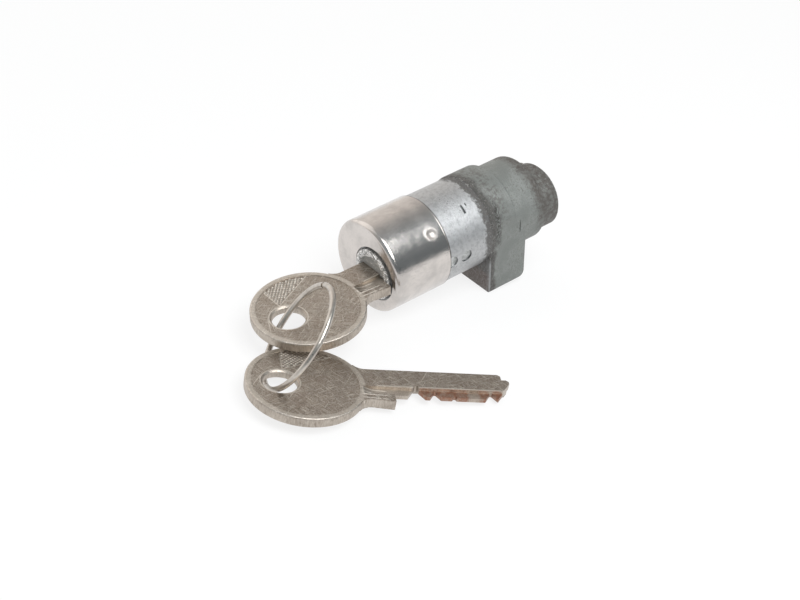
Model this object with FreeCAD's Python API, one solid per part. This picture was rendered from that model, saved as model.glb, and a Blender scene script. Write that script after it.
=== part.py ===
import FreeCAD, Part
import math
import os

from FreeCAD import Placement, Rotation, Vector

# Barrel casting, with the thicker collar that the leg grows from
barrel_radius = 10.4
barrel_front_chamfer = 0.9
collar_step = 0.27
collar_front_edge = 0.25
collar_end = 34.9
collar_rear_edge = 0.5
rear_body_drop = 0.41
rear_body_end = 43.7
rear_body_edge = 0.7
boss_radius = 7.45
boss_z = 0.18
boss_end = 47.75
boss_edge = 0.5

# Two shallow marks in the barrel: angle, y, radius of the round cutter, depth, width
barrel_marks = [
    (56.0, 22.25, 3.0, 0.3, 0.55),
    (60.0, 23.45, 0.7, 0.15, 0.35),
]

# Leg under the rear of the casting
leg_side_inset = 0.5
leg_front = 27.3
leg_length = 10.7
leg_drop = 14.55
leg_edge = 0.5
leg_rear_round = 1.6

# Drawn front cap
cap_wall = 0.35
cap_fit = 0.02
cap_length = 15.0
cap_edge = 1.05
cap_hole_gap = 0.3
stake_count = 3
stake_first_angle = 45.0
stake_y = 11.85
stake_radius = 1.25
stake_depth = 0.5
stake_clearance = 0.06

# Rotor, which the key turns
rotor_head_wall = 1.65
rotor_z = -0.2
rotor_radius = 4.8
rotor_head_radius = 6.0
rotor_head_front = -0.7
rotor_head_back = 2.4
rotor_head_round = 0.8
rotor_dish_radius = 4.5
rotor_dish_depth = 0.55
rotor_fit = 0.05
rotor_end_gap = 0.3
keyway_length = 26.4
keyway_fit = 0.1

# Retaining pin, which lies in a groove of the rotor
pin_radius = 0.9
pin_offset = 3.35
pin_y = 45.2
pin_proud = 0.5
pin_fit = 0.05
drive_slot_width = 2.3
drive_slot_depth = 1.9

# Pin tumblers
tumbler_count = 5
tumbler_pitch = 3.95
first_cut = 4.8
tumbler_radius = 1.2
chamber_fit = 0.05
tumbler_gap = 0.04
driver_length = 1.15
driver_chamfer = 0.2
dome_radius = 3.4
chamber_plug_radius = 1.45
chamber_plug_height = 0.6
chamber_plug_recess = 0.3
spring_wire = 0.22
spring_turns = 3
spring_gap = 0.03

# Key, measured from the middle of its round bow along the blade
key_thickness = 2.2
bow_radius = 12.3
bow_rim = 1.2
bow_recess = 0.12
bow_edge = 0.35
bow_hole_radius = 3.6
bow_hole_offset = 5.1
bow_hole_bevel = 0.5
shoulder_at = 17.85
blade_length = 25.0
blade_width = 7.8
blade_back = 5.3
neck_width = 10.0
neck_flare = 0.6
neck_fillet = 3.0
cut_depths = [2.8, 1.6, 0.5, 0.0, 2.0]
cut_root_width = 0.4
cut_half_angle = 31.0
groove_step = 5.75
groove_width = 2.45
under_groove_rise = 1.0
groove_depth = 0.65
groove_start = 11.6
groove_cutter_radius = 6.0
ward_start = 2.3
ward_width = 1.4
ward_depth = 0.8
tip_step = 1.8
tip_step_length = 1.5
tip_nose = 2.4
tip_slant = 56.0
tip_round = 0.5
key_side_step = 1.6
key_stop_y = -0.9

# Key ring, a split round wire through both bows
wire_radius = 0.65
ring_radius = 11.85
ring_lean = 31.75
ring_gap_angle = 4.0
ring_gap_at = 135.0
ring_in_key_hole = Vector(-0.3, -1.5, -0.22)
ring_in_spare_hole = Vector(0.83, -1.87, 0.06)

# Spare key, lying on the same surface as the lock
spare_hole_x = 13.72
spare_hole_y = -11.91
spare_hole_height = 3.55
spare_heading = 59.3

# The origin lies on the barrel's axis in the plane of the cap's rear rim
origin_y = cap_length

# Values that follow from the sizes above
leg_half_width = barrel_radius - leg_side_inset
rear_body_radius = leg_half_width
rotor_x = barrel_radius - rotor_head_wall - rotor_head_radius - rotor_fit
key_axis_x = rotor_x + key_side_step
cap_radius = barrel_radius + cap_fit + cap_wall
cap_hole_radius = rotor_head_radius + cap_hole_gap
rotor_end = boss_end - rotor_end_gap
pin_x = rotor_x - pin_offset
groove_root = pin_offset - pin_radius - pin_fit
chamber_radius = tumbler_radius + chamber_fit
plug_seat = math.sqrt((barrel_radius - chamber_plug_recess) ** 2 - rotor_z ** 2) - chamber_plug_height
blade_back_x = key_axis_x - blade_back
key_length_past_bow = shoulder_at + blade_length
half_thickness = key_thickness / 2
web_half = half_thickness - groove_depth


def rest_tilt():
    """Angle at which the lock leans on its cap and on the leg's front edge."""
    run = leg_front - cap_edge
    rise = leg_drop - (cap_radius - cap_edge)
    return math.degrees(math.atan2(rise, run) - math.asin(cap_edge / math.hypot(rise, run)))


tilt = rest_tilt()
lock_placement = Placement(Vector(0, 0, 0), Rotation(Vector(1, 0, 0), tilt)).multiply(
    Placement(Vector(0, -origin_y, 0), Rotation())
)


def in_row(point):
    """Place of a point of the lock in the part's own frame."""
    return lock_placement.multVec(point)


ground_z = in_row(Vector(0, leg_front, -leg_drop)).z


def rod_y(radius, start, end, x=0.0, z=0.0):
    return Part.makeCylinder(radius, end - start, Vector(x, start, z), Vector(0, 1, 0))


def rod_x(radius, start, end, y, z):
    return Part.makeCylinder(radius, end - start, Vector(start, y, z), Vector(1, 0, 0))


def block(x_span, y_span, z_span):
    corner = Vector(x_span[0], y_span[0], z_span[0])
    return Part.makeBox(
        x_span[1] - x_span[0], y_span[1] - y_span[0], z_span[1] - z_span[0], corner
    )


def turned(edges, centre, axis):
    """Solid of revolution of a closed chain of edges."""
    face = Part.Face(Part.Wire(edges))
    return face.revolve(centre, axis, 360)


def line(start, end):
    return Part.LineSegment(start, end).toShape()


def arc(start, middle, end):
    return Part.Arc(start, middle, end).toShape()


def polygon_face(points):
    return Part.Face(Part.makePolygon(points + [points[0]]))


def turned_profile(points, x, z):
    """Turns (radius, y) points about an axis along Y at x, z."""
    corners = [Vector(x + radius, y, z) for radius, y in points]
    return polygon_face(corners).revolve(Vector(x, 0, z), Vector(0, 1, 0), 360)


def turned_pin(points, y, z):
    """Turns (x, radius) points about an axis along X at y, z."""
    corners = [Vector(x, y, z + radius) for x, radius in points]
    return polygon_face(corners).revolve(Vector(0, y, z), Vector(1, 0, 0), 360)


def edges_at_y(shape, y, smallest_radius):
    """Round edges that lie in a plane across the barrel."""
    found = []
    for edge in shape.Edges:
        box = edge.BoundBox
        flat = abs(box.YMax - y) < 1e-4 and abs(box.YMin - y) < 1e-4
        if flat and box.ZLength > smallest_radius:
            found.append(edge)
    return found


def tumbler_y(index):
    return key_stop_y + first_cut + index * tumbler_pitch


def stake_centre(index):
    ball = (stake_radius ** 2 + stake_depth ** 2) / (2 * stake_depth)
    angle = math.radians(stake_first_angle + index * 360.0 / stake_count)
    reach = cap_radius - stake_depth + ball
    return Vector(reach * math.cos(angle), stake_y, reach * math.sin(angle)), ball


def make_housing():
    front = cap_wall + cap_fit
    collar_radius = barrel_radius + collar_step
    barrel = turned_profile(
        [
            (0, front),
            (barrel_radius - barrel_front_chamfer, front),
            (barrel_radius, front + barrel_front_chamfer),
            (barrel_radius, leg_front),
            (collar_radius - collar_front_edge, leg_front),
            (collar_radius, leg_front + collar_front_edge),
            (collar_radius, collar_end - collar_rear_edge),
            (collar_radius - collar_rear_edge, collar_end),
            (0, collar_end),
        ],
        0,
        0,
    )
    rear = rod_y(rear_body_radius, leg_front + leg_edge, rear_body_end, 0, -rear_body_drop)
    rear = rear.makeFillet(rear_body_edge, edges_at_y(rear, rear_body_end, rear_body_radius))
    boss = rod_y(boss_radius, collar_end, boss_end, rotor_x, boss_z)
    boss = boss.makeChamfer(boss_edge, edges_at_y(boss, boss_end, boss_radius))
    leg = make_leg()
    body = barrel.fuse([rear, leg, boss])
    cuts = [
        rod_y(rotor_head_radius + rotor_fit, front - 1, rotor_head_back + rotor_fit, rotor_x, rotor_z),
        rod_y(rotor_radius + rotor_fit, 0, boss_end + 1, rotor_x, rotor_z),
        Part.makeCylinder(
            pin_radius, 2 * (boss_radius + 1), Vector(pin_x, pin_y, boss_z - boss_radius - 1)
        ),
    ]
    for index in range(tumbler_count):
        y = tumbler_y(index)
        cuts.append(rod_x(chamber_radius, rotor_x, barrel_radius + 1, y, rotor_z))
        cuts.append(rod_x(chamber_plug_radius, plug_seat, barrel_radius + 1, y, rotor_z))
    for index in range(stake_count):
        centre, ball = stake_centre(index)
        cuts.append(Part.makeSphere(ball + cap_wall + stake_clearance, centre))
    cuts += [make_barrel_mark(*mark) for mark in barrel_marks]
    beyond = barrel_radius + 1
    for x_span in ((-beyond, -leg_half_width), (leg_half_width, beyond)):
        cuts.append(block(x_span, (leg_front, collar_end + 1), (-beyond, beyond)))
    return body.cut(cuts).removeSplitter()


def make_barrel_mark(angle, y, cutter_radius, depth, width):
    reach = barrel_radius + cutter_radius - depth
    x = reach * math.cos(math.radians(angle))
    z = reach * math.sin(math.radians(angle))
    return rod_y(cutter_radius, y - width / 2, y + width / 2, x, z)


def make_leg():
    leg = block(
        (-leg_half_width, leg_half_width),
        (leg_front, leg_front + leg_length),
        (-leg_drop, -rear_body_drop),
    )
    upright = []
    rear_bottom = []
    for edge in leg.Edges:
        box = edge.BoundBox
        if box.ZLength > 1:
            upright.append(edge)
        elif box.XLength > 1 and box.ZMax < -leg_drop + 1 and box.YMin > leg_front + 1:
            rear_bottom.append(edge)
    leg = leg.makeFillet(leg_rear_round, rear_bottom)
    upright = [edge for edge in leg.Edges if edge.BoundBox.ZLength > leg_drop / 2]
    return leg.makeFillet(leg_edge, upright)


def make_front_cap():
    inner = barrel_radius + cap_fit
    bend = math.sqrt(0.5)
    centre_outer = Vector(cap_radius - cap_edge, cap_edge, 0)
    inner_bend = cap_edge - cap_wall
    edges = [
        line(Vector(0, 0, 0), Vector(cap_radius - cap_edge, 0, 0)),
        arc(
            Vector(cap_radius - cap_edge, 0, 0),
            centre_outer + Vector(cap_edge * bend, -cap_edge * bend, 0),
            Vector(cap_radius, cap_edge, 0),
        ),
        line(Vector(cap_radius, cap_edge, 0), Vector(cap_radius, cap_length, 0)),
        line(Vector(cap_radius, cap_length, 0), Vector(inner, cap_length, 0)),
        line(Vector(inner, cap_length, 0), Vector(inner, cap_edge, 0)),
        arc(
            Vector(inner, cap_edge, 0),
            centre_outer + Vector(inner_bend * bend, -inner_bend * bend, 0),
            Vector(inner - inner_bend, cap_wall, 0),
        ),
        line(Vector(inner - inner_bend, cap_wall, 0), Vector(0, cap_wall, 0)),
        line(Vector(0, cap_wall, 0), Vector(0, 0, 0)),
    ]
    cap = turned(edges, Vector(0, 0, 0), Vector(0, 1, 0))
    cap = cap.cut(rod_y(cap_hole_radius, -1, cap_wall + 1, rotor_x, rotor_z))
    drum = rod_y(cap_radius - cap_wall / 2, 0, cap_length)
    bumps = []
    dents = []
    for index in range(stake_count):
        centre, ball = stake_centre(index)
        bumps.append(Part.makeSphere(ball + cap_wall, centre).common(drum))
        dents.append(Part.makeSphere(ball, centre))
    return cap.fuse(bumps).cut(dents)


def make_rotor():
    front = rotor_head_front
    back = rotor_head_back
    outer = rotor_head_radius
    edge = rotor_head_round
    bend = math.sqrt(0.5)
    groove_half = pin_radius + pin_fit
    dish = rotor_dish_radius

    def at(radius, y):
        return Vector(rotor_x + radius, y, rotor_z)

    edges = [
        line(at(0, front + rotor_dish_depth), at(dish - rotor_dish_depth, front + rotor_dish_depth)),
        line(at(dish - rotor_dish_depth, front + rotor_dish_depth), at(dish, front)),
        line(at(dish, front), at(outer - edge, front)),
        arc(
            at(outer - edge, front),
            at(outer - edge + edge * bend, front + edge - edge * bend),
            at(outer, front + edge),
        ),
        line(at(outer, front + edge), at(outer, back)),
        line(at(outer, back), at(rotor_radius, back)),
        line(at(rotor_radius, back), at(rotor_radius, pin_y - groove_half)),
        line(at(rotor_radius, pin_y - groove_half), at(groove_root, pin_y - groove_half)),
        line(at(groove_root, pin_y - groove_half), at(groove_root, pin_y + groove_half)),
        line(at(groove_root, pin_y + groove_half), at(rotor_radius, pin_y + groove_half)),
        line(at(rotor_radius, pin_y + groove_half), at(rotor_radius, rotor_end)),
        line(at(rotor_radius, rotor_end), at(0, rotor_end)),
        line(at(0, rotor_end), at(0, front + rotor_dish_depth)),
    ]
    rotor = turned(edges, Vector(rotor_x, 0, rotor_z), Vector(0, 1, 0))
    slot = block(
        (rotor_x - outer, rotor_x + outer),
        (rotor_end - drive_slot_depth, rotor_end + 1),
        (rotor_z - drive_slot_width / 2, rotor_z + drive_slot_width / 2),
    )
    cuts = [slot, make_keyway()]
    for index in range(tumbler_count):
        cuts.append(rod_x(chamber_radius, key_axis_x, rotor_x + outer, tumbler_y(index), rotor_z))
    return rotor.cut(cuts)


def make_keyway():
    """The slot for the blade, with its wards, and the seat of the key's shoulder."""
    gap = keyway_fit
    low = rotor_z - half_thickness - gap
    high = rotor_z + half_thickness + gap
    start = rotor_head_front - 1
    end = rotor_head_front + keyway_length
    thick_end = blade_back_x + groove_step + gap
    thick = block((blade_back_x - gap, thick_end), (start, end), (low, high))
    ward_x = blade_back_x + ward_start
    ward_top = rotor_z - half_thickness + ward_depth - gap
    ward = block((ward_x + gap, ward_x + ward_width - gap), (start - 1, end + 1), (low - 1, ward_top))
    under_step = block(
        (thick_end - under_groove_rise, thick_end + 1),
        (start - 1, end + 1),
        (low - 1, rotor_z - web_half - gap),
    )
    web = block(
        (thick_end - gap, blade_back_x + blade_width + gap),
        (start, end),
        (rotor_z - web_half - gap, rotor_z + web_half + gap),
    )
    seat = block(
        (blade_back_x - gap, rotor_x + rotor_head_radius + 1), (start, key_stop_y), (low, high)
    )
    return thick.cut([ward, under_step]).fuse([web, seat])


def make_retaining_pin():
    reach = math.sqrt(boss_radius ** 2 - pin_offset ** 2)
    top = boss_z + reach + pin_proud
    foot = boss_z - reach + pin_proud
    pin = Part.makeCylinder(pin_radius, top - foot, Vector(pin_x, pin_y, foot))
    ends = [edge for edge in pin.Edges if edge.BoundBox.ZLength < 1e-6]
    return pin.makeChamfer(pin_radius / 4, ends)


def make_key_pin(index):
    """Round pin with a cone that stands in the key's cut and a domed top at the shear line."""
    blade_edge = blade_back_x + blade_width + tumbler_gap
    root = blade_edge - cut_depths[index]
    flat = cut_root_width / 2
    cone = (tumbler_radius - flat) * math.tan(math.radians(90 - cut_half_angle))
    top = rotor_x + rotor_radius - tumbler_gap / 2
    rim = top - dome_radius + math.sqrt(dome_radius ** 2 - tumbler_radius ** 2)
    middle = top - dome_radius + math.sqrt(dome_radius ** 2 - (tumbler_radius / 2) ** 2)
    y = tumbler_y(index)
    # A pin too short for its cone stands on the rims of its cut
    if root + cone > rim - tumbler_gap:
        root = blade_edge
    shoulder = min(root + cone, rim - tumbler_gap)
    tip_radius = tumbler_radius - (shoulder - root) * math.tan(math.radians(cut_half_angle))

    def at(x, radius):
        return Vector(x, y, rotor_z + radius)

    edges = [
        line(at(root, 0), at(root, tip_radius)),
        line(at(root, tip_radius), at(shoulder, tumbler_radius)),
        line(at(shoulder, tumbler_radius), at(rim, tumbler_radius)),
        arc(at(rim, tumbler_radius), at(middle, tumbler_radius / 2), at(top, 0)),
        line(at(top, 0), at(root, 0)),
    ]
    return turned(edges, Vector(0, y, rotor_z), Vector(1, 0, 0))


def driver_start():
    return rotor_x + rotor_radius + rotor_fit + tumbler_gap


def make_driver_pin(index):
    start = driver_start()
    end = start + driver_length
    points = [
        (start, 0),
        (start, tumbler_radius - driver_chamfer),
        (start + driver_chamfer, tumbler_radius),
        (end - driver_chamfer, tumbler_radius),
        (end, tumbler_radius - driver_chamfer),
        (end, 0),
    ]
    return turned_pin(points, tumbler_y(index), rotor_z)


def make_chamber_spring(index):
    """Compression spring wound from half turns that meet where the wire runs along the barrel."""
    start = driver_start() + driver_length + spring_gap + spring_wire / 2
    end = plug_seat - spring_gap - spring_wire / 2
    coil_radius = tumbler_radius - spring_wire / 2 - chamber_fit
    half_turns = 2 * spring_turns
    rise = (end - start) / half_turns
    y = tumbler_y(index)
    wire_runs = Vector(0, 1, 0)
    turns = []
    for step in range(half_turns):
        side = 1 if step % 2 == 0 else -1
        low = Vector(start + step * rise, y, rotor_z + side * coil_radius)
        high = Vector(start + (step + 1) * rise, y, rotor_z - side * coil_radius)
        section = Part.Face(Part.Wire(Part.makeCircle(spring_wire / 2, low, wire_runs)))
        axis = (high - low).cross(wire_runs)
        turns.append(section.revolve((low + high) * 0.5, axis, 180))
    return turns[0].multiFuse(turns[1:])


def make_chamber_plug(index):
    plug = rod_x(chamber_plug_radius, plug_seat, barrel_radius + 1, tumbler_y(index), rotor_z)
    return plug.common(rod_y(barrel_radius - chamber_plug_recess, 0, collar_end))


def neck_corner(side):
    """Where the neck's edge leaves the bow: side 1 is the back, side -1 the cut edge."""
    reach = blade_back if side > 0 else neck_width - blade_back
    out = bow_radius + neck_fillet
    centre = Vector(math.sqrt(out ** 2 - (reach + neck_fillet) ** 2), side * (reach + neck_fillet), 0)
    on_bow = centre * (bow_radius / out)
    on_neck = Vector(centre.x, side * reach, 0)
    towards = (Vector(0, 0, 0) - centre).normalize() + Vector(0, -side, 0)
    middle = centre + towards.normalize() * neck_fillet
    return on_bow, middle, on_neck


def blade_points():
    """Outline of the uncut blade from its back at the tip round to the shoulder."""
    edge = blade_back - blade_width
    tip = key_length_past_bow
    nose = blade_back - tip_step - tip_nose / 2
    slant = (nose - edge) / math.tan(math.radians(tip_slant))
    return [
        Vector(tip - tip_step_length - tip_round, blade_back, 0),
        Vector(tip - tip_step_length, blade_back - tip_round, 0),
        Vector(tip - tip_step_length, blade_back - tip_step, 0),
        Vector(tip - tip_round, blade_back - tip_step, 0),
        Vector(tip, blade_back - tip_step - tip_round, 0),
        Vector(tip, nose, 0),
        Vector(tip - slant, edge, 0),
        Vector(shoulder_at, edge, 0),
        Vector(shoulder_at, blade_back - neck_width - neck_flare, 0),
    ]


def make_cut(index):
    """Tool that files one V into the blade's edge."""
    edge = blade_back - blade_width
    depth = cut_depths[index]
    below = depth + 1
    half = cut_root_width / 2
    wide = half + below * math.tan(math.radians(cut_half_angle))
    middle = shoulder_at + first_cut + index * tumbler_pitch
    corners = [
        Vector(middle - wide, edge + depth - below, -key_thickness),
        Vector(middle - half, edge + depth, -key_thickness),
        Vector(middle + half, edge + depth, -key_thickness),
        Vector(middle + wide, edge + depth - below, -key_thickness),
    ]
    return polygon_face(corners).extrude(Vector(0, 0, 2 * key_thickness))


def make_key():
    """Key with its flat in the XY plane, blade along +X, back edge towards +Y."""
    top_bow, top_middle, top_neck = neck_corner(1)
    low_bow, low_middle, low_neck = neck_corner(-1)
    points = [top_neck] + blade_points() + [low_neck]
    edges = [arc(top_bow, top_middle, top_neck)]
    for start, end in zip(points, points[1:]):
        edges.append(line(start, end))
    edges.append(arc(low_neck, low_middle, low_bow))
    edges.append(line(low_bow, top_bow))
    plate = Part.Face(Part.Wire(edges)).extrude(Vector(0, 0, key_thickness))
    plate.translate(Vector(0, 0, -half_thickness))
    key = make_bow().fuse(plate)
    recess = bow_radius - bow_rim
    cuts = [make_bow_hole()]
    cuts += [make_cut(index) for index in range(tumbler_count) if cut_depths[index] > 0]
    for side in (1, -1):
        low = half_thickness - bow_recess if side > 0 else -half_thickness - 1
        cuts.append(Part.makeCylinder(recess, 1 + bow_recess, Vector(0, 0, low)))
        cuts.append(make_blade_groove(side))
    ward_y = blade_back - ward_start - ward_width
    cuts.append(
        block(
            (groove_start + groove_cutter_radius / 2, key_length_past_bow + 1),
            (ward_y, ward_y + ward_width),
            (-half_thickness - 1, -half_thickness + ward_depth),
        )
    )
    return key.cut(cuts).removeSplitter()


def make_bow():
    disc = Part.makeCylinder(bow_radius, key_thickness, Vector(0, 0, -half_thickness))
    rims = [edge for edge in disc.Edges if edge.BoundBox.ZLength < 1e-6]
    return disc.makeFillet(bow_edge, rims)


def make_bow_hole():
    bevel = bow_hole_bevel
    reach = half_thickness + bevel
    corners = [
        Vector(0, 0, -reach),
        Vector(bow_hole_radius + 2 * bevel, 0, -reach),
        Vector(bow_hole_radius, 0, -reach + 2 * bevel),
        Vector(bow_hole_radius, 0, reach - 2 * bevel),
        Vector(bow_hole_radius + 2 * bevel, 0, reach),
        Vector(0, 0, reach),
    ]
    hole = polygon_face(corners).revolve(Vector(0, 0, 0), Vector(0, 0, 1), 360)
    hole.translate(Vector(-bow_hole_offset, 0, 0))
    return hole


def make_blade_groove(side):
    """Milled groove beside the cuts, with the round run-out that a disc cutter leaves."""
    rise = under_groove_rise if side < 0 else 0
    top = blade_back - groove_step + rise
    width = groove_width + rise
    floor = side * (half_thickness - groove_depth)
    run_out = groove_start + math.sqrt(groove_cutter_radius ** 2 - (groove_cutter_radius - groove_depth) ** 2)
    cutter = Part.makeCylinder(
        groove_cutter_radius,
        width,
        Vector(run_out, top - width, floor + side * groove_cutter_radius),
        Vector(0, 1, 0),
    )
    far = key_length_past_bow + 1
    slab = block(
        (run_out, far), (top - width, top), sorted((floor, side * (half_thickness + 1)))
    )
    return cutter.fuse(slab)


def key_placement():
    middle = Vector(key_axis_x, key_stop_y - shoulder_at, rotor_z)
    return lock_placement.multiply(Placement(middle, Rotation(Vector(0, 0, 1), 90)))


def spare_placement():
    """The spare lies on its tip and on the ring under its bow."""
    hole = key_placement().multVec(Vector(-bow_hole_offset, 0, 0))
    start = Vector(hole.x + spare_hole_x, hole.y + spare_hole_y, ground_z + spare_hole_height)
    length = bow_hole_offset + key_length_past_bow
    dip = math.degrees(math.asin((spare_hole_height - half_thickness) / length))
    turn = Rotation(Vector(0, 0, 1), spare_heading).multiply(Rotation(Vector(0, 1, 0), dip))
    middle = start + turn.multVec(Vector(bow_hole_offset, 0, 0))
    return Placement(middle, turn), start


def ring_frame():
    """Centre of the ring and its two axes, from the places where it crosses the bows."""
    first = key_placement().multVec(Vector(-bow_hole_offset, 0, 0)) + ring_in_key_hole
    second = spare_placement()[1] + ring_in_spare_hole
    chord = second - first
    along = Vector(chord).normalize()
    upward = Vector(0, 0, 1) - along * along.z
    upward.normalize()
    side = along.cross(upward)
    lean = math.radians(ring_lean)
    towards = upward * math.cos(lean) - side * math.sin(lean)
    reach = math.sqrt(ring_radius ** 2 - (chord.Length / 2) ** 2)
    centre = (first + second) * 0.5 + towards * reach
    return centre, along, towards


def make_key_ring():
    centre, along, towards = ring_frame()
    normal = along.cross(towards)
    gap = math.radians(ring_gap_angle)
    begin = math.radians(ring_gap_at)

    def on_ring(angle):
        return centre + along * (ring_radius * math.cos(angle)) + towards * (ring_radius * math.sin(angle))

    first = begin + gap / 2
    sweep = 2 * math.pi - gap
    path = Part.Wire([arc(on_ring(first), on_ring(first + sweep / 2), on_ring(first + sweep))])
    tangent = normal.cross(on_ring(first) - centre).normalize()
    section = Part.Wire([Part.makeCircle(wire_radius, on_ring(first), tangent)])
    return path.makePipeShell([section], True, True)


def placed(shape, placement):
    moved = shape.copy()
    moved.Placement = placement.multiply(moved.Placement)
    return moved


def build_parts():
    parts = {
        "housing": make_housing(),
        "front_cap": make_front_cap(),
        "retaining_pin": make_retaining_pin(),
        "rotor": make_rotor(),
    }
    for index in range(tumbler_count):
        number = index + 1
        parts[f"key_pin_{number}"] = make_key_pin(index)
        parts[f"driver_pin_{number}"] = make_driver_pin(index)
        parts[f"chamber_spring_{number}"] = make_chamber_spring(index)
        parts[f"chamber_plug_{number}"] = make_chamber_plug(index)
    parts = {name: placed(shape, lock_placement) for name, shape in parts.items()}
    key = make_key()
    parts["key_in_lock"] = placed(key, key_placement())
    parts["spare_key"] = placed(key, spare_placement()[0])
    parts["key_ring"] = make_key_ring()
    return parts


def main():
    os.makedirs("parts", exist_ok=True)
    for name, shape in build_parts().items():
        box = shape.BoundBox
        print(
            f"{name:18} solids {len(shape.Solids)} valid {shape.isValid()} "
            f"volume {shape.Volume:9.3f} z {box.ZMin:8.3f} to {box.ZMax:8.3f}"
        )
        shape.exportStep(f"parts/{name}.step")


main()
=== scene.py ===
import math

import bpy
from mathutils import Matrix, Vector


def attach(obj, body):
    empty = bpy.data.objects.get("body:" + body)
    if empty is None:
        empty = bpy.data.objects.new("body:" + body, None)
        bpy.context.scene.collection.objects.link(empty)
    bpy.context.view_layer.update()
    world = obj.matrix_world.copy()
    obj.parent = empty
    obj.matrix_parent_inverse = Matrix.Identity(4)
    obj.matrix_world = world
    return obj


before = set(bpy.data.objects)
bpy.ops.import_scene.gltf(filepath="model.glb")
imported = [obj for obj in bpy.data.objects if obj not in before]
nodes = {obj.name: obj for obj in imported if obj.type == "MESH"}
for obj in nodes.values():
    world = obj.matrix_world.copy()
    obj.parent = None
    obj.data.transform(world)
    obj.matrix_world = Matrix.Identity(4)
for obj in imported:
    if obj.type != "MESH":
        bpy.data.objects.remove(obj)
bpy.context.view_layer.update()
print("frame loaded,", len(nodes), "nodes")

# where the lock and the two keys lie, in millimetres, as in the part's source
mm = 0.001
lockPlace = {"tilt": 8.1712, "originY": 15.0, "groundZ": -12.6541, "rotorX": 2.7, "rotorZ": -0.2}
keyPlace = {
    "axisX": 4.3,
    "stopY": -0.9,
    "shoulderAt": 17.85,  # from the bow's middle
    "holeOffset": 5.1,
    "tipAt": 42.85,
    "half": 1.1,  # half the key's thickness
}
sparePlace = {"holeX": 13.72, "holeY": -11.91, "holeHeight": 3.55, "heading": 59.3}

lockTurn = Matrix.Rotation(math.radians(lockPlace["tilt"]), 4, "X")
lockFrame = lockTurn @ Matrix.Translation((0, -lockPlace["originY"], 0))
keyStart = (keyPlace["axisX"], keyPlace["stopY"] - keyPlace["shoulderAt"], lockPlace["rotorZ"])
keyFrame = lockFrame @ Matrix.Translation(keyStart) @ Matrix.Rotation(math.radians(90), 4, "Z")
keyHole = keyFrame @ Vector((-keyPlace["holeOffset"], 0, 0))
spareHole = Vector((
    keyHole.x + sparePlace["holeX"],
    keyHole.y + sparePlace["holeY"],
    lockPlace["groundZ"] + sparePlace["holeHeight"],
))
spareLift = sparePlace["holeHeight"] - keyPlace["half"]
spareDip = math.asin(spareLift / (keyPlace["holeOffset"] + keyPlace["tipAt"]))
spareTurn = Matrix.Rotation(math.radians(sparePlace["heading"]), 4, "Z") @ Matrix.Rotation(spareDip, 4, "Y")
spareFrame = Matrix.Translation(spareHole) @ spareTurn @ Matrix.Translation((keyPlace["holeOffset"], 0, 0))


# a wrapped socket: the usual operators on it add Math nodes
class Value:
    def __init__(self, bench, made, output=0):
        self.bench = bench
        self.made = made
        self.socket = made.outputs[output] if made.outputs else None

    def maths(self, operation, first, second=0.0):
        return self.bench.node("ShaderNodeMath", {"operation": operation}, {0: first, 1: second})

    def __add__(self, other):
        return self.maths("ADD", self, other)

    def __radd__(self, other):
        return self.maths("ADD", other, self)

    def __sub__(self, other):
        return self.maths("SUBTRACT", self, other)

    def __rsub__(self, other):
        return self.maths("SUBTRACT", other, self)

    def __mul__(self, other):
        return self.maths("MULTIPLY", self, other)

    def __rmul__(self, other):
        return self.maths("MULTIPLY", other, self)

    def __truediv__(self, other):
        return self.maths("DIVIDE", self, other)

    def __rtruediv__(self, other):
        return self.maths("DIVIDE", other, self)

    def __abs__(self):
        return self.maths("ABSOLUTE", self)

    def root(self):
        return self.maths("SQRT", self)

    def wave(self):
        return self.maths("SINE", self)

    def radians(self):
        return self.maths("RADIANS", self)

    def most(self, other):
        return self.maths("MAXIMUM", self, other)

    def least(self, other):
        return self.maths("MINIMUM", self, other)

    def above(self, other):
        return self.maths("GREATER_THAN", self, other)

    def below(self, other):
        return self.maths("LESS_THAN", self, other)

    # noise about its middle, so that it moves an edge both ways
    def swing(self, size):
        return (self - 0.5) * size

    # 0 below start and share above end; a start above the end turns it round
    def rise(self, start, end, share=1.0, at=0.0, shape="SMOOTHSTEP"):
        turned = start > end
        sockets = {
            "Value": self,
            "From Min": at + min(start, end),
            "From Max": at + max(start, end),
            "To Min": float(turned),
            "To Max": float(not turned),
        }
        mask = self.bench.node("ShaderNodeMapRange", {"interpolation_type": shape, "clamp": True}, sockets)
        return mask if share == 1.0 else mask * share

    # share between start and end, with soft edges
    def band(self, start, end, edge, share=1.0, at=0.0):
        return self.rise(start - edge, start + edge, at=at) * self.rise(end + edge, end - edge, share, at)


# a node tree, and the one method that adds nodes to it
class Bench:
    def __init__(self, tree):
        self.tree = tree

    def feed(self, socket, value):
        if isinstance(value, Value):
            self.tree.links.new(value.socket, socket)
        elif socket.type == "RGBA":
            socket.default_value = (*value, 1.0)
        else:
            socket.default_value = value

    def node(self, kind, settings=None, sockets=None, output=0):
        made = self.tree.nodes.new(kind)
        for key, value in (settings or {}).items():
            setattr(made, key, value)
        for key, value in (sockets or {}).items():
            self.feed(made.inputs[key], value)
        return Value(self, made, output)

    # one node of which several outputs are wanted
    def several(self, kind, outputs, sockets=None):
        made = self.node(kind, None, sockets).made
        return [Value(self, made, output) for output in outputs]

    def parts(self, vector):
        return self.several("ShaderNodeSeparateXYZ", (0, 1, 2), {0: vector})

    def mix(self, factor, first, second):
        settings = {"data_type": "RGBA", "blend_type": "MIX"}
        return self.node("ShaderNodeMix", settings, {0: factor, 6: first, 7: second}, 2)


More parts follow.
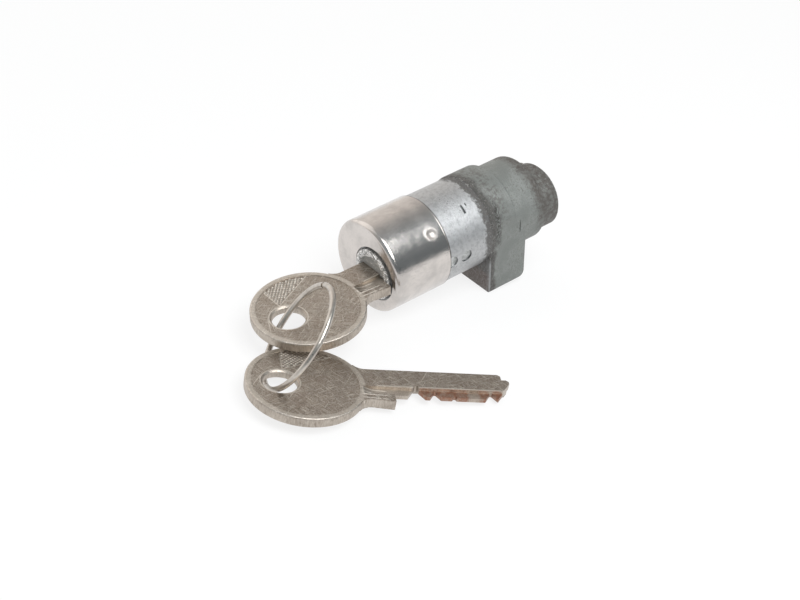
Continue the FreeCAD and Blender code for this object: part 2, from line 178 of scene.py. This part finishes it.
# a material's bench, with its main shader and output in place
class Finish(Bench):
    def __init__(self, name):
        self.material = bpy.data.materials.new(name)
        self.material.use_nodes = True
        super().__init__(self.material.node_tree)
        self.tree.nodes.clear()
        self.shader = self.node("ShaderNodeBsdfPrincipled")
        self.output = self.node("ShaderNodeOutputMaterial", None, {"Surface": self.shader})

    def set(self, sockets):
        for key, value in sockets.items():
            self.feed(self.shader.made.inputs[key], value)

    # object coordinates turned into a piece's own millimetres
    def place(self, matrix):
        sockets = {
            "Vector": self.node("ShaderNodeTexCoord", output="Object"),
            "Location": matrix.translation * mm,
            "Rotation": matrix.to_euler("XYZ"),
            "Scale": (mm, mm, mm),
        }
        return self.node("ShaderNodeMapping", {"vector_type": "TEXTURE"}, sockets)

    # scale is about the number of waves in a millimetre
    def noise(self, vector, scale, detail, roughness=0.55):
        sockets = {"Vector": vector, "Scale": scale, "Detail": detail, "Roughness": roughness}
        return self.node("ShaderNodeTexNoise", None, sockets, "Fac")

    # stretches coordinates, so that noise becomes streaks
    def stretch(self, vector, factors):
        return self.node("ShaderNodeVectorMath", {"operation": "MULTIPLY"}, {0: vector, 1: factors})

    # depth is in millimetres, for a height of 1
    def bump(self, height, depth):
        return self.node("ShaderNodeBump", None, {"Height": height, "Distance": depth * mm})

    def length(self, first, second):
        return (first * first + second * second).root()


def wear(names, finish):
    for name in names:
        slots = nodes[name].data.materials
        slots.clear()
        slots.append(finish.material)


# housing: bright barrel, greasy band at its end, dull grey-green block, dirty rear
housingLook = {
    "silver": (0.54, 0.545, 0.55),
    "silverDull": (0.40, 0.405, 0.41),
    "pitAndRecessShade": (0.16, 0.165, 0.165),
    "block": (0.205, 0.216, 0.204),
    "blockPale": (0.258, 0.270, 0.256),
    # grease, and the painted shade in the seam behind the cap's rim
    "greaseAndShade": (0.050, 0.045, 0.041),
    # dark pits, and the painted shade inside the sunk marks
    "greasePale": (0.15, 0.142, 0.132),
    "brown": (0.105, 0.094, 0.085),
    # rust, darkened by the painted shade on the leg's front face
    "shadedRust": (0.125, 0.092, 0.078),
    # painted glints on the collar's edge and in the grease
    "paintedGlint": (0.66, 0.66, 0.65),
    # where things are on the casting
    "barrelRadius": 10.4,
    "markFloor": 9.6,  # radius at the bottom of the sunk marks
    "boreRadius": 6.3,
    "capRim": 15.0,
    "bandStart": 25.6,
    "collarAt": 27.3,
    "bandEnd": 28.9,
    "rearDirt": 41.0,
    "bossAt": 43.7,
    "legSide": 9.0,
    # noises: scale, detail and roughness
    "cloud": (0.22, 5.0, 0.6),
    "fine": (1.15, 7.0, 0.68),
    "grit": (2.4, 5.0, 0.7),
    "speck": (6.0, 2.0),
    "pitScale": 1.3,
    # masks: from, to and the share of the colour
    "dullPatches": (0.42, 0.66, 0.8),
    "dullGrit": (0.60, 0.72, 0.5),
    "pitSize": (0.22, 0.08, 0.8),
    "pitGroups": (0.46, 0.60),
    "palePatches": (0.38, 0.62),
    "paleSpecks": (0.52, 0.68, 0.45),
    "brownSpecks": (0.50, 0.64, 0.6),
    "brownGroups": (0.40, 0.60),
    "bossPatches": (0.50, 0.40, 0.25),
    "topPatches": (0.46, 0.58, 0.6),
    "sideGrit": (0.40, 0.54, 0.9),
    "paleGrease": (0.42, 0.62),
    # grease is thin where the grit is low
    "greaseThin": 0.70,
    "greaseThick": (0.38, 0.55, 0.28),
    "edgeGrit": (0.55, 0.62),
    "edgeGroups": (0.44, 0.56),
    "bandSpecks": (0.62, 0.68, 0.9),
    "bandGroups": (0.47, 0.54),
    # how far cloud, fine and grit move the edges of the dirt, in millimetres
    "ragged": (2.6, 2.6, 1.8),
    "dullMetallic": -0.62,
    "sparkMetallic": 0.3,
    "rough": 0.34,
    "fineRough": 0.10,
    "dullRough": 0.16,
    "sparkRough": -0.2,
    "leastRough": 0.2,
    "relief": 0.14,
}


def barrelTone(finish, look, grain):
    silver = finish.mix(grain["fine"].rise(*look["dullPatches"]), look["silver"], look["silverDull"])
    silver = finish.mix(grain["grit"].rise(*look["dullGrit"]), silver, look["silverDull"])
    return finish.mix(grain["pits"], silver, look["pitAndRecessShade"])


def blockTone(finish, look, grain, x, y, z, edge):
    cloud, fine, grit = grain["cloud"], grain["fine"], grain["grit"]
    block = finish.mix(cloud.rise(*look["palePatches"]), look["block"], look["blockPale"])
    block = finish.mix(grain["speck"].rise(*look["paleSpecks"]), block, look["blockPale"])
    brown = grit.rise(*look["brownSpecks"]) * cloud.rise(*look["brownGroups"])
    block = finish.mix(brown, block, look["brown"])
    # brown dirt over the rear boss and the top of the rear body
    rear = edge.rise(-1.0, 1.6, at=look["rearDirt"]) * (z + fine.swing(6.0)).rise(-6.0, 0.5)
    boss = (y + grit.swing(0.6)).rise(-0.1, 0.2, at=look["bossAt"])
    block = finish.mix(rear.most(boss) * (0.62 + fine.rise(0.40, 0.60, 0.36)), block, look["brown"])
    block = finish.mix(boss * fine.rise(*look["bossPatches"]), block, look["blockPale"])
    # dirt that spread from the collar over the top and the right side
    topDirt = edge.band(0.0, 4.0, 1.2, at=look["bandEnd"]) * z.rise(0.0, 8.0)
    block = finish.mix(topDirt * fine.rise(*look["topPatches"]), block, look["brown"])
    sideDirt = edge.band(-0.2, 1.4, 0.5, at=look["bandEnd"]) * x.rise(5.0, 8.5) * z.rise(-4.0, 0.0)
    return finish.mix(sideDirt * grit.rise(*look["sideGrit"]), block, look["greaseAndShade"])


def housingFinish(look):
    finish = Finish("zincCasting")
    point = finish.place(lockFrame)
    x, y, z = finish.parts(point)
    grain = {name: finish.noise(point, *look[name]) for name in ("cloud", "fine", "grit", "speck")}
    cloud, fine, grit, speck = grain.values()
    cellSockets = {"Vector": point, "Scale": look["pitScale"]}
    cells = finish.node("ShaderNodeTexVoronoi", {"feature": "F1"}, cellSockets, "Distance")
    grain["pits"] = cells.rise(*look["pitSize"]) * cloud.rise(*look["pitGroups"])
    cloudSwing, fineSwing, gritSwing = look["ragged"]
    edge = y + cloud.swing(cloudSwing) + fine.swing(fineSwing) + grit.swing(gritSwing)
    onBlock = (y + grit.swing(0.4)).rise(-0.05, 0.3, at=look["collarAt"])
    block = blockTone(finish, look, grain, x, y, z, edge)
    colour = finish.mix(onBlock, barrelTone(finish, look, grain), block)
    # grease: thick where the barrel meets the collar; rust and painted shade on the leg's front face
    band = edge.band(look["bandStart"], look["bandEnd"], 0.55)
    legFrontRustAndShade = y.band(-0.4, 0.12, 0.08, at=look["collarAt"]) * z.rise(-9.0, -10.2)
    greaseAndLegShade = band.most(legFrontRustAndShade)
    tone = finish.mix(grit.rise(*look["paleGrease"]), look["greaseAndShade"], look["greasePale"])
    tone = finish.mix(legFrontRustAndShade * 0.8, tone, look["shadedRust"])
    colour = finish.mix(greaseAndLegShade * (look["greaseThin"] + grit.rise(*look["greaseThick"])), colour, tone)
    # painted highlights: bright glints along the collar's edge, and specks in the grease
    ridge = (y + fine.swing(1.6)).band(-0.1, 0.25, 0.1, at=look["collarAt"])
    ridge = ridge * grit.rise(*look["edgeGrit"]) * cloud.rise(*look["edgeGroups"])
    paintedGlint = ridge * (0.5 + z.rise(-9.0, -3.0, 0.4))
    paintedGlint = paintedGlint + band * speck.rise(*look["bandSpecks"]) * fine.rise(*look["bandGroups"])
    colour = finish.mix(paintedGlint.least(1.0), colour, look["paintedGlint"])
    # painted highlight along the leg's front edge
    legEdgeHighlight = y.band(0.02, 0.30, 0.05, at=look["collarAt"]) * x.rise(-0.3, -0.1, at=look["legSide"])
    legEdgeHighlight = legEdgeHighlight * z.rise(-5.0, -7.0) * (0.35 + fine * 0.7)
    colour = finish.mix(legEdgeHighlight, colour, look["silverDull"])
    # painted shade: a dark line in the seam behind the cap's rim
    seamShade = y.band(0.1, 0.42, 0.1, at=look["capRim"])
    colour = finish.mix(seamShade * (0.55 + grit * 0.6).least(1.0), colour, look["greaseAndShade"])
    # painted shade: the sunk marks are dark inside, and the bores are unpolished
    sunkShade = finish.length(x, z).band(look["markFloor"], look["barrelRadius"] - 0.06, 0.02)
    sunkShade = sunkShade * y.rise(0.0, -1.0, at=look["bandStart"]) * y.rise(2.0, 3.0, 0.85, at=look["capRim"])
    colour = finish.mix(sunkShade, colour, look["pitAndRecessShade"])
    inner = finish.length(x - lockPlace["rotorX"], z - lockPlace["rotorZ"])
    colour = finish.mix(inner.rise(0.0, -0.3, 0.6, at=look["boreRadius"]), colour, look["silverDull"])
    dull = onBlock.most(greaseAndLegShade)
    metallic = 1.0 + dull * look["dullMetallic"] + paintedGlint * look["sparkMetallic"]
    rough = look["rough"] + fine * look["fineRough"] + dull * look["dullRough"] + paintedGlint * look["sparkRough"]
    height = fine * 0.5 + grit * 0.8 + speck * 0.25 - grain["pits"] + greaseAndLegShade * grit * 0.8
    finish.set({
        "Base Color": colour,
        "Metallic": metallic.least(1.0),
        "Roughness": rough.most(look["leastRough"]),
        "Normal": finish.bump(height, look["relief"]),
    })
    return finish


wear(["housing"], housingFinish(housingLook))
print("housing finish made")


# front cap: polished sheet, scuffed, dull round its stakes, with painted shade in the seam at its rear rim
capLook = {
    "plate": (0.655, 0.615, 0.585),
    "plateDull": (0.53, 0.50, 0.478),
    # painted shade in the seam at the rear rim
    "seamShade": (0.12, 0.11, 0.10),
    "rim": 15.0,
    "stakes": (45.0, 165.0, 285.0),  # degrees round the barrel
    "stakeY": 12.0,
    "stakeReach": 2.3,
    "cloud": (0.16, 4.0, 0.6),
    "blotch": (0.55, 5.0, 0.62),
    "rubbed": (2.2, 7.0, 0.72),
    "rubbedStretch": (1.0, 0.30, 1.0),
    "scratch": (1.6, 4.0, 0.7),
    "scratchStretch": (3.0, 0.25, 3.0),
    "dullPatches": (0.40, 0.66),
    "dullRubs": (0.50, 0.66, 0.5),
    "roughBlotches": (0.50, 0.66, 0.05),
    "roughScratches": (0.58, 0.72, 0.08),
    "rough": 0.09,
    "rubbedRough": 0.11,
    "struckRough": 0.26,
    "relief": 0.032,
}


def capFinish(look):
    finish = Finish("polishedCap")
    point = finish.place(lockFrame)
    x, y, z = finish.parts(point)
    cloud = finish.noise(point, *look["cloud"])
    rubbed = finish.noise(finish.stretch(point, look["rubbedStretch"]), *look["rubbed"])
    blotch = finish.noise(point, *look["blotch"])
    scratches = finish.noise(finish.stretch(point, look["scratchStretch"]), *look["scratch"])
    colour = finish.mix(cloud.rise(*look["dullPatches"]), look["plate"], look["plateDull"])
    colour = finish.mix(rubbed.rise(*look["dullRubs"]), colour, look["plateDull"])
    # painted shade: the seam at the rear rim is darkened
    seamShade = y.rise(-0.20, -0.06, at=look["rim"])
    # the sheet is rubbed dull round each stake
    struck = seamShade
    for degrees in look["stakes"]:
        angle = math.radians(degrees)
        across = z * math.cos(angle) - x * math.sin(angle)
        outward = x * math.cos(angle) + z * math.sin(angle)
        ringed = finish.length(y - look["stakeY"], across).rise(look["stakeReach"], 0.7)
        struck = struck.most(ringed * outward.rise(0.0, 1.0) * (0.4 + rubbed))
    colour = finish.mix(seamShade * 0.85, colour, look["seamShade"])
    rough = look["rough"] + rubbed * look["rubbedRough"] + blotch.rise(*look["roughBlotches"])
    rough = rough + scratches.rise(*look["roughScratches"]) + struck * look["struckRough"]
    height = rubbed * (0.9 + struck * 2.0) + scratches * 0.3 + blotch * 0.2
    finish.set({"Base Color": colour, "Metallic": 1.0, "Roughness": rough})
    finish.set({"Normal": finish.bump(height, look["relief"])})
    return finish


wear(["front_cap"], capFinish(capLook))


# rotor: bright pebbled rim round a grey dish, painted shade in the gap at its edge, dull where it leaves the
# housing
rotorLook = {
    "rim": (0.90, 0.89, 0.87),
    "rimDark": (0.30, 0.30, 0.29),
    "dish": (0.50, 0.50, 0.485),
    "rear": (0.36, 0.36, 0.35),
    "rearDark": (0.24, 0.235, 0.225),
    # painted shade in the gap round the head
    "gap": (0.10, 0.095, 0.09),
    "dishRadius": 4.3,
    "headRadius": 6.0,
    "headEnd": 6.0,
    "pebble": (1.25, 5.0, 0.65),
    "grit": (5.0, 3.0),
    "darkPebbles": (0.50, 0.58, 0.85),
    "brightPebbles": (0.54, 0.64, 0.7),
    "rearPatches": (0.40, 0.62),
    "metallic": 0.95,
    "rough": 0.18,
    "dishRough": 0.2,
    "rearRough": 0.2,
    "pebbleRough": 0.1,
    "relief": 1.0,
}


def rotorFinish(look):
    finish = Finish("rotorCasting")
    point = finish.place(lockFrame)
    x, y, z = finish.parts(point)
    reach = finish.length(x - lockPlace["rotorX"], z - lockPlace["rotorZ"])
    inDish = reach.rise(0.1, -0.3, at=look["dishRadius"]) * y.rise(1.0, 0.2)
    pebble = finish.noise(point, *look["pebble"])
    grit = finish.noise(point, *look["grit"])
    colour = finish.mix(pebble.rise(*look["darkPebbles"]), look["rim"], look["rimDark"])
    colour = finish.mix(inDish, colour, look["dish"])
    colour = finish.mix(pebble.rise(*look["brightPebbles"]) * inDish, colour, look["rim"])
    # painted shade: a dark ring in the gap between the head's edge and the housing
    colour = finish.mix(reach.rise(-0.28, -0.05, 0.8, at=look["headRadius"]), colour, look["gap"])
    rear = y.rise(0.0, 1.0, at=look["headEnd"])
    rearTone = finish.mix(pebble.rise(*look["rearPatches"]), look["rear"], look["rearDark"])
    colour = finish.mix(rear, colour, rearTone)
    rough = look["rough"] + inDish * look["dishRough"] + rear * look["rearRough"]
    rough = rough + pebble * look["pebbleRough"]
    finish.set({"Base Color": colour, "Metallic": look["metallic"], "Roughness": rough})
    finish.set({"Normal": finish.bump(pebble + grit * 0.3, look["relief"])})
    return finish


wear(["rotor"], rotorFinish(rotorLook))
print("cap and rotor finishes made")


# knurled corner of each bow: small pyramids on a turned grid, cut to a sector
knurlLook = {
    "pitch": 0.62,
    "height": 0.15,
    "spread": 0.62,  # a pyramid's radius as a share of the pitch
    "apexX": -4.2,
    "apexY": 4.5,
    "slope": 0.46,
    "limit": 10.75,
    "span": 22.0,
    "turn": 45.0,
    "face": 0.972,
}


# keys: worn nickel silver, coppery where the cuts wore through
keyLook = {
    "nickel": (0.37, 0.317, 0.268),
    "nickelPale": (0.48, 0.425, 0.368),
    "bright": (0.80, 0.75, 0.68),
    # tarnish, and the painted shade in the crease inside the rim
    "tarnishAndShade": (0.165, 0.135, 0.108),
    "copper": (0.31, 0.158, 0.105),
    # where things are on a key, from the bow's middle towards the tip
    "bowRadius": 12.3,
    "rimInner": 11.1,
    "holeRadius": 4.1,
    "grooveTop": -0.45,
    "grooveFrom": 14.0,
    "millFrom": 11.2,
    "millTo": 16.4,
    "millTop": -0.5,
    "millPitch": 1.15,
    "millLean": 0.5,
    "cutStart": 23.2,
    "cutEdge": -0.5,
    "webHalf": 0.46,
    "paleFrom": 33.4,
    "paleTo": 35.9,
    # noises: scale, detail and roughness
    "cloud": (0.20, 5.0, 0.6),
    "fine": (1.2, 6.0, 0.66),
    "stipple": (2.4, 3.0, 0.6),
    "stippleStretch": (2.0, 1.1, 1.0),
    "brushed": (1.5, 3.0, 0.6),
    "brushedStretch": (3.5, 3.5, 0.5),
    # scratches run along their turned x axis
    "fineTurns": (25.0, -50.0),
    "fineScratch": {"stretch": (0.34, 3.6, 1.0), "noise": (1.1, 3.0, 0.5), "mask": (0.585, 0.665)},
    "deepTurn": 62.0,
    "deepScratch": {"stretch": (0.10, 2.2, 1.0), "noise": (1.0, 2.0, 0.4), "mask": (0.685, 0.715)},
    # masks: from, to and the share of the colour
    "palePatches": (0.36, 0.64),
    "darkSpecks": (0.52, 0.70, 0.55),
    "darkStipple": (0.47, 0.62, 0.55),
    "darkPatches": (0.50, 0.62, 0.30),
    "brushedSide": (0.40, 0.62, 0.3),
    "copperPatches": (0.35, 0.60, 0.5),
    "rough": 0.30,
    "fineRough": 0.14,
    "sideRough": 0.06,
    "relief": 0.07,
}


def keyScratch(finish, matrix, turn, kind):
    along = finish.place(matrix @ Matrix.Rotation(math.radians(turn), 4, "Z"))
    return finish.noise(finish.stretch(along, kind["stretch"]), *kind["noise"]).rise(*kind["mask"])


# the field is darker between the pyramids; painted highlights mark the thin ridges along its two straight
# edges
def knurlField(finish, look, colour, x, y, reach, onTop):
    overX = x - knurlLook["apexX"]
    overLine = y - knurlLook["apexY"] - overX * knurlLook["slope"]
    within = overX.rise(-0.1, 0.1) * overLine.rise(-0.1, 0.1) * onTop
    within = within * reach.rise(0.1, -0.1, 0.55, at=knurlLook["limit"])
    leftEdge = overX.band(-0.32, -0.05, 0.08) * overLine.rise(-0.3, 0.0)
    lineEdge = overLine.band(-0.34, -0.05, 0.08) * overX.rise(-0.3, 0.0)
    ridgeHighlights = leftEdge.most(lineEdge) * reach.rise(0.25, -0.15, 0.6, at=knurlLook["limit"]) * onTop
    return finish.mix(ridgeHighlights, finish.mix(within, colour, look["tarnishAndShade"]), look["bright"])


# copper shows on the thin web between the cuts
def copperWeb(finish, look, colour, x, y, z, fine):
    web = abs(z).rise(0.04, 0.0, at=look["webHalf"]) * y.rise(0.1, -0.1, at=look["cutEdge"])
    spared = x.band(look["paleFrom"], look["paleTo"], 0.4, 0.8)
    copper = web * (x + fine).rise(0.0, 0.6, at=look["cutStart"]) * (1.0 - spared)
    return finish.mix(copper * (0.45 + fine.rise(*look["copperPatches"])), colour, look["copper"])


def keyFinish(name, matrix, look):
    finish = Finish(name)
    point = finish.place(matrix)
    x, y, z = finish.parts(point)
    cloud = finish.noise(point, *look["cloud"])
    fine = finish.noise(point, *look["fine"])
    stipple = finish.noise(finish.stretch(point, look["stippleStretch"]), *look["stipple"])
    brushed = finish.noise(finish.stretch(point, look["brushedStretch"]), *look["brushed"])
    first, second = [keyScratch(finish, matrix, turn, look["fineScratch"]) for turn in look["fineTurns"]]
    scratch = first.most(second)
    deep = keyScratch(finish, matrix, look["deepTurn"], look["deepScratch"])
    reach = finish.length(x, y)
    hole = finish.length(x + keyPlace["holeOffset"], y)
    onTop = abs(z).rise(-0.2, -0.13, at=keyPlace["half"])
    side = abs(z).rise(-0.1, -0.25, at=keyPlace["half"])
    colour = finish.mix(cloud.rise(*look["palePatches"]), look["nickel"], look["nickelPale"])
    colour = finish.mix(fine.rise(*look["darkSpecks"]), colour, look["tarnishAndShade"])
    colour = finish.mix(stipple.rise(*look["darkStipple"]) * onTop, colour, look["tarnishAndShade"])
    colour = finish.mix(cloud.rise(*look["darkPatches"]) * onTop, colour, look["tarnishAndShade"])
    # painted shade: a dark line inside the rim, in the crease at the foot of its step; bright rim and bright
    # lip of the hole
    rimCreaseShade = reach.band(-0.12, 0.0, 0.1, at=look["rimInner"])
    colour = finish.mix(rimCreaseShade * (0.1 + fine.rise(0.40, 0.60, 0.35)), colour, look["tarnishAndShade"])
    rim = reach.band(look["rimInner"] + 0.1, look["bowRadius"] - 0.1, 0.15, 0.55)
    lip = hole.band(-0.35, 0.12, 0.1, 0.8, at=look["holeRadius"])
    rubbed = ((rim + lip) * onTop).least(1.0) * (0.5 + fine * 0.6)
    colour = finish.mix(rubbed, colour, look["bright"])
    # milled lines across the neck
    onNeck = x.band(look["millFrom"], look["millTo"], 0.5) * z.rise(0.2, 0.4)
    onNeck = onNeck * y.rise(0.2, -0.2, at=look["millTop"])
    lines = (y * (math.tau / look["millPitch"]) + x * look["millLean"]).wave().rise(0.55, 0.9)
    lines = lines * fine.rise(0.34, 0.46) * onNeck
    colour = finish.mix(lines * 0.85, colour, look["bright"])
    colour = finish.mix((scratch * 0.5).most(deep * 0.55) * onTop, colour, look["bright"])
    colour = finish.mix(side * brushed.rise(*look["brushedSide"]), colour, look["bright"])
    # painted highlights: bright edge of the milled groove, and of the step in the bow
    grooveHighlight = y.band(0.02, 0.34, 0.05, 0.85, at=look["grooveTop"]) * x.rise(0.0, 1.0, at=look["grooveFrom"])
    stepHighlight = reach.band(-0.06, 0.04, 0.03, 0.7, at=look["rimInner"]) * (1.0 - rimCreaseShade * 0.4)
    colour = finish.mix((grooveHighlight * onTop + stepHighlight).least(1.0), colour, look["bright"])
    colour = knurlField(finish, look, colour, x, y, reach, onTop)
    colour = copperWeb(finish, look, colour, x, y, z, fine)
    rough = look["rough"] + fine * look["fineRough"] + side * look["sideRough"]
    grooves = (stipple * 0.9 + scratch * 0.3 - deep * 0.8) * onTop
    height = grooves + fine * 0.6 + brushed * side * 0.3 + lines * 0.6
    finish.set({"Base Color": colour, "Metallic": 1.0, "Roughness": rough})
    finish.set({"Normal": finish.bump(height, look["relief"])})
    return finish


wear(["key_in_lock"], keyFinish("keyNickel", keyFrame, keyLook))
wear(["spare_key"], keyFinish("spareNickel", spareFrame, keyLook))
print("key finishes made")


# small metal: its dark and pale colours, roughness, and the scale of its patches
metalLook = {
    "ring": ((0.48, 0.44, 0.395), (0.60, 0.56, 0.51), 0.22, 0.4),
    "pin": ((0.24, 0.23, 0.215), (0.40, 0.385, 0.36), 0.38, 1.5),
    "tumbler": ((0.70, 0.50, 0.22), (0.80, 0.62, 0.32), 0.28, 1.5),
    "spring": ((0.50, 0.50, 0.50), (0.66, 0.66, 0.66), 0.30, 1.5),
    "plug": ((0.36, 0.37, 0.365), (0.60, 0.61, 0.605), 0.36, 1.1),
    "knurl": (keyLook["nickelPale"], keyLook["bright"], 0.30, 1.2),
}
patchLook = {"mask": (0.38, 0.64), "rough": 0.14, "streaks": 6.0, "relief": 0.05}


def plainMetal(name, dark, pale, rough, scale):
    finish = Finish(name)
    point = finish.place(lockFrame)
    cloud = finish.noise(point, scale, 5.0, 0.65)
    streaks = finish.noise(point, scale * patchLook["streaks"], 2.0)
    colour = finish.mix(cloud.rise(*patchLook["mask"]), dark, pale)
    finish.set({"Base Color": colour, "Metallic": 1.0, "Roughness": rough + cloud * patchLook["rough"]})
    finish.set({"Normal": finish.bump(cloud + streaks * 0.3, patchLook["relief"])})
    return finish


numbers = range(1, 6)
metalNodes = {
    "ring": ["key_ring"],
    "pin": ["retaining_pin"],
    "tumbler": [f"{kind}_pin_{number}" for kind in ("key", "driver") for number in numbers],
    "spring": [f"chamber_spring_{number}" for number in numbers],
    "plug": [f"chamber_plug_{number}" for number in numbers],
}
for name, names in metalNodes.items():
    wear(names, plainMetal(name + "Metal", *metalLook[name]))
print("small metal finishes made")


# the knurled field's tree, whose inputs have the names that knurlLook gives the sizes
def knurlTree(sizes):
    tree = bpy.data.node_groups.new("knurlField", "GeometryNodeTree")
    bench = Bench(tree)
    kinds = {size: "NodeSocketFloat" for size in sizes}
    kinds["finish"] = "NodeSocketMaterial"
    sockets = {}
    for name, kind in kinds.items():
        sockets[name] = tree.interface.new_socket(name, in_out="INPUT", socket_type=kind).identifier
    tree.interface.new_socket("field", in_out="OUTPUT", socket_type="NodeSocketGeometry")
    given = dict(zip(kinds, bench.several("NodeGroupInput", list(kinds))))
    count = given["span"] / given["pitch"] + 1.0
    gridSockets = {"Size X": given["span"], "Size Y": given["span"], "Vertices X": count, "Vertices Y": count}
    grid = bench.node("GeometryNodeMeshGrid", None, gridSockets)
    turn = bench.node("ShaderNodeCombineXYZ", None, {"Z": given["turn"].radians()})
    turned = bench.node("GeometryNodeTransform", None, {"Geometry": grid, "Rotation": turn})
    # only points inside the sector carry a pyramid
    x, y, z = bench.parts(bench.node("GeometryNodeInputPosition"))
    overX = x - given["apexX"]
    aboveLine = (y - given["apexY"] - overX * given["slope"]).above(0.0)
    inBow = (x * x + y * y).below(given["limit"] * given["limit"])
    chosen = aboveLine * overX.above(0.0) * inBow
    coneSockets = {
        "Vertices": 4,
        "Radius Top": 0.0,
        "Radius Bottom": given["pitch"] * given["spread"],
        "Depth": given["height"],
    }
    cone = bench.node("GeometryNodeMeshCone", {"fill_type": "NGON"}, coneSockets)
    dotSockets = {"Points": turned, "Selection": chosen, "Instance": cone}
    dots = bench.node("GeometryNodeInstanceOnPoints", None, dotSockets)
    solid = bench.node("GeometryNodeRealizeInstances", None, {"Geometry": dots})
    dressed = bench.node("GeometryNodeSetMaterial", None, {"Geometry": solid, "Material": given["finish"]})
    bench.node("NodeGroupOutput", None, {0: dressed})
    return tree, sockets


def makeKnurl(name, matrix, finish, body, look):
    sizes = [size for size in look if size != "face"]
    tree, sockets = knurlTree(sizes)
    holder = bpy.data.objects.new(name + "Maker", bpy.data.meshes.new(name + "Maker"))
    bpy.context.scene.collection.objects.link(holder)
    field = holder.modifiers.new("knurl", "NODES")
    field.node_group = tree
    for size in sizes:
        field[sockets[size]] = look[size]
    field[sockets["finish"]] = finish.material
    bpy.context.view_layer.update()
    evaluated = holder.evaluated_get(bpy.context.evaluated_depsgraph_get())
    mesh = bpy.data.meshes.new_from_object(evaluated)
    bpy.data.objects.remove(holder)
    mesh.transform(Matrix.Scale(mm, 4) @ matrix @ Matrix.Translation((0, 0, look["face"])))
    mesh.name = name
    knurl = bpy.data.objects.new(name, mesh)
    bpy.context.scene.collection.objects.link(knurl)
    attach(knurl, body)
    print(name, "made,", len(mesh.polygons), "faces")


knurlNickel = plainMetal("knurlNickel", *metalLook["knurl"])
makeKnurl("keyKnurl", keyFrame, knurlNickel, "key", knurlLook)
makeKnurl("spareKnurl", spareFrame, knurlNickel, "spare", knurlLook)


# floor, lights and camera; the room is warm at the left and cool and darker at the right
stageLook = {
    "floorSize": 1.6,
    "floorColour": (0.92, 0.92, 0.92),
    "floorRough": 0.9,
    "whiteShare": 0.8,
    "roomWarm": (1.0, 0.955, 0.91),
    "roomCool": (0.84, 0.94, 1.0),
    # brightness of the room, and from where to where it changes and by how much
    "roomMiddle": 0.46,
    "roomLeft": (-0.2, -0.9, 0.46),
    "roomRight": (0.35, 0.85, -0.24),
    "coolFrom": -0.6,
    "coolTo": 0.3,
}
lampLook = {
    "frontBox": {"position": (0.33, -0.03, 0.50), "aim": (0.0, 0.0, 0.0), "size": 0.44, "watts": 3.3},
    "leftBox": {"position": (-0.50, -0.20, 0.38), "aim": (0.0, -0.01, 0.0), "size": 0.80, "watts": 0.8},
}
cameraLook = {
    "position": (232.391, -223.322, 191.478),
    "turn": (0.994889, -0.110750, 0.885036),
    "lens": 76.419,
    "sensor": 36.0,
    "near": 0.01,
}


def makeFloor(look):
    half = look["floorSize"] / 2
    level = lockPlace["groundZ"] * mm
    mesh = bpy.data.meshes.new("floor")
    corners = [(-half, -half, level), (half, -half, level), (half, half, level), (-half, half, level)]
    mesh.from_pydata(corners, [], [(0, 1, 2, 3)])
    floor = bpy.data.objects.new("floor", mesh)
    bpy.context.scene.collection.objects.link(floor)
    finish = Finish("floorPaper")
    finish.set({"Base Color": look["floorColour"], "Roughness": look["floorRough"]})
    rays = ("Is Camera Ray", "Is Glossy Ray", "Is Transmission Ray")
    camera, glossy, transmission = finish.several("ShaderNodeLightPath", rays)
    seen = camera.most(glossy).most(transmission)
    white = finish.node("ShaderNodeEmission", None, {"Color": (1, 1, 1), "Strength": 1.0})
    shares = {0: seen * look["whiteShare"], 1: finish.shader, 2: white}
    both = finish.node("ShaderNodeMixShader", None, shares)
    finish.feed(finish.output.made.inputs["Surface"], both)
    mesh.materials.append(finish.material)


def makeLamp(name, look):
    data = bpy.data.lights.new(name, "AREA")
    data.shape = "SQUARE"
    data.size = look["size"]
    data.energy = look["watts"]
    lamp = bpy.data.objects.new(name, data)
    lamp.location = look["position"]
    facing = Vector(look["aim"]) - Vector(look["position"])
    lamp.rotation_euler = facing.to_track_quat("-Z", "Y").to_euler()
    bpy.context.scene.collection.objects.link(lamp)


# white where the camera sees it, the room where it lights or shows in metal
def makeWorld(look):
    world = bpy.data.worlds.new("studio")
    bpy.context.scene.world = world
    world.use_nodes = True
    world.node_tree.nodes.clear()
    bench = Bench(world.node_tree)
    x, y, z = bench.parts(bench.node("ShaderNodeTexCoord", output="Generated"))
    level = look["roomMiddle"] + x.rise(*look["roomLeft"]) + x.rise(*look["roomRight"])
    cool = x.rise(look["coolFrom"], look["coolTo"], shape="LINEAR")
    tint = bench.mix(cool, look["roomWarm"], look["roomCool"])
    room = bench.node("ShaderNodeBackground", None, {"Color": tint, "Strength": level})
    white = bench.node("ShaderNodeBackground", None, {"Color": (1, 1, 1), "Strength": 1.0})
    seen = bench.node("ShaderNodeLightPath", output="Is Camera Ray")
    both = bench.node("ShaderNodeMixShader", None, {0: seen, 1: room, 2: white})
    bench.node("ShaderNodeOutputWorld", None, {"Surface": both})


def makeCamera(look):
    data = bpy.data.cameras.new("camera")
    data.sensor_width = look["sensor"]
    data.lens = look["lens"]
    data.clip_start = look["near"]
    camera = bpy.data.objects.new("camera", data)
    camera.location = Vector(look["position"]) * mm
    camera.rotation_euler = look["turn"]
    bpy.context.scene.collection.objects.link(camera)
    bpy.context.scene.camera = camera


makeFloor(stageLook)
for name, look in lampLook.items():
    makeLamp(name, look)
makeWorld(stageLook)
makeCamera(cameraLook)
bpy.context.scene.view_settings.view_transform = "Standard"
print("stage made")
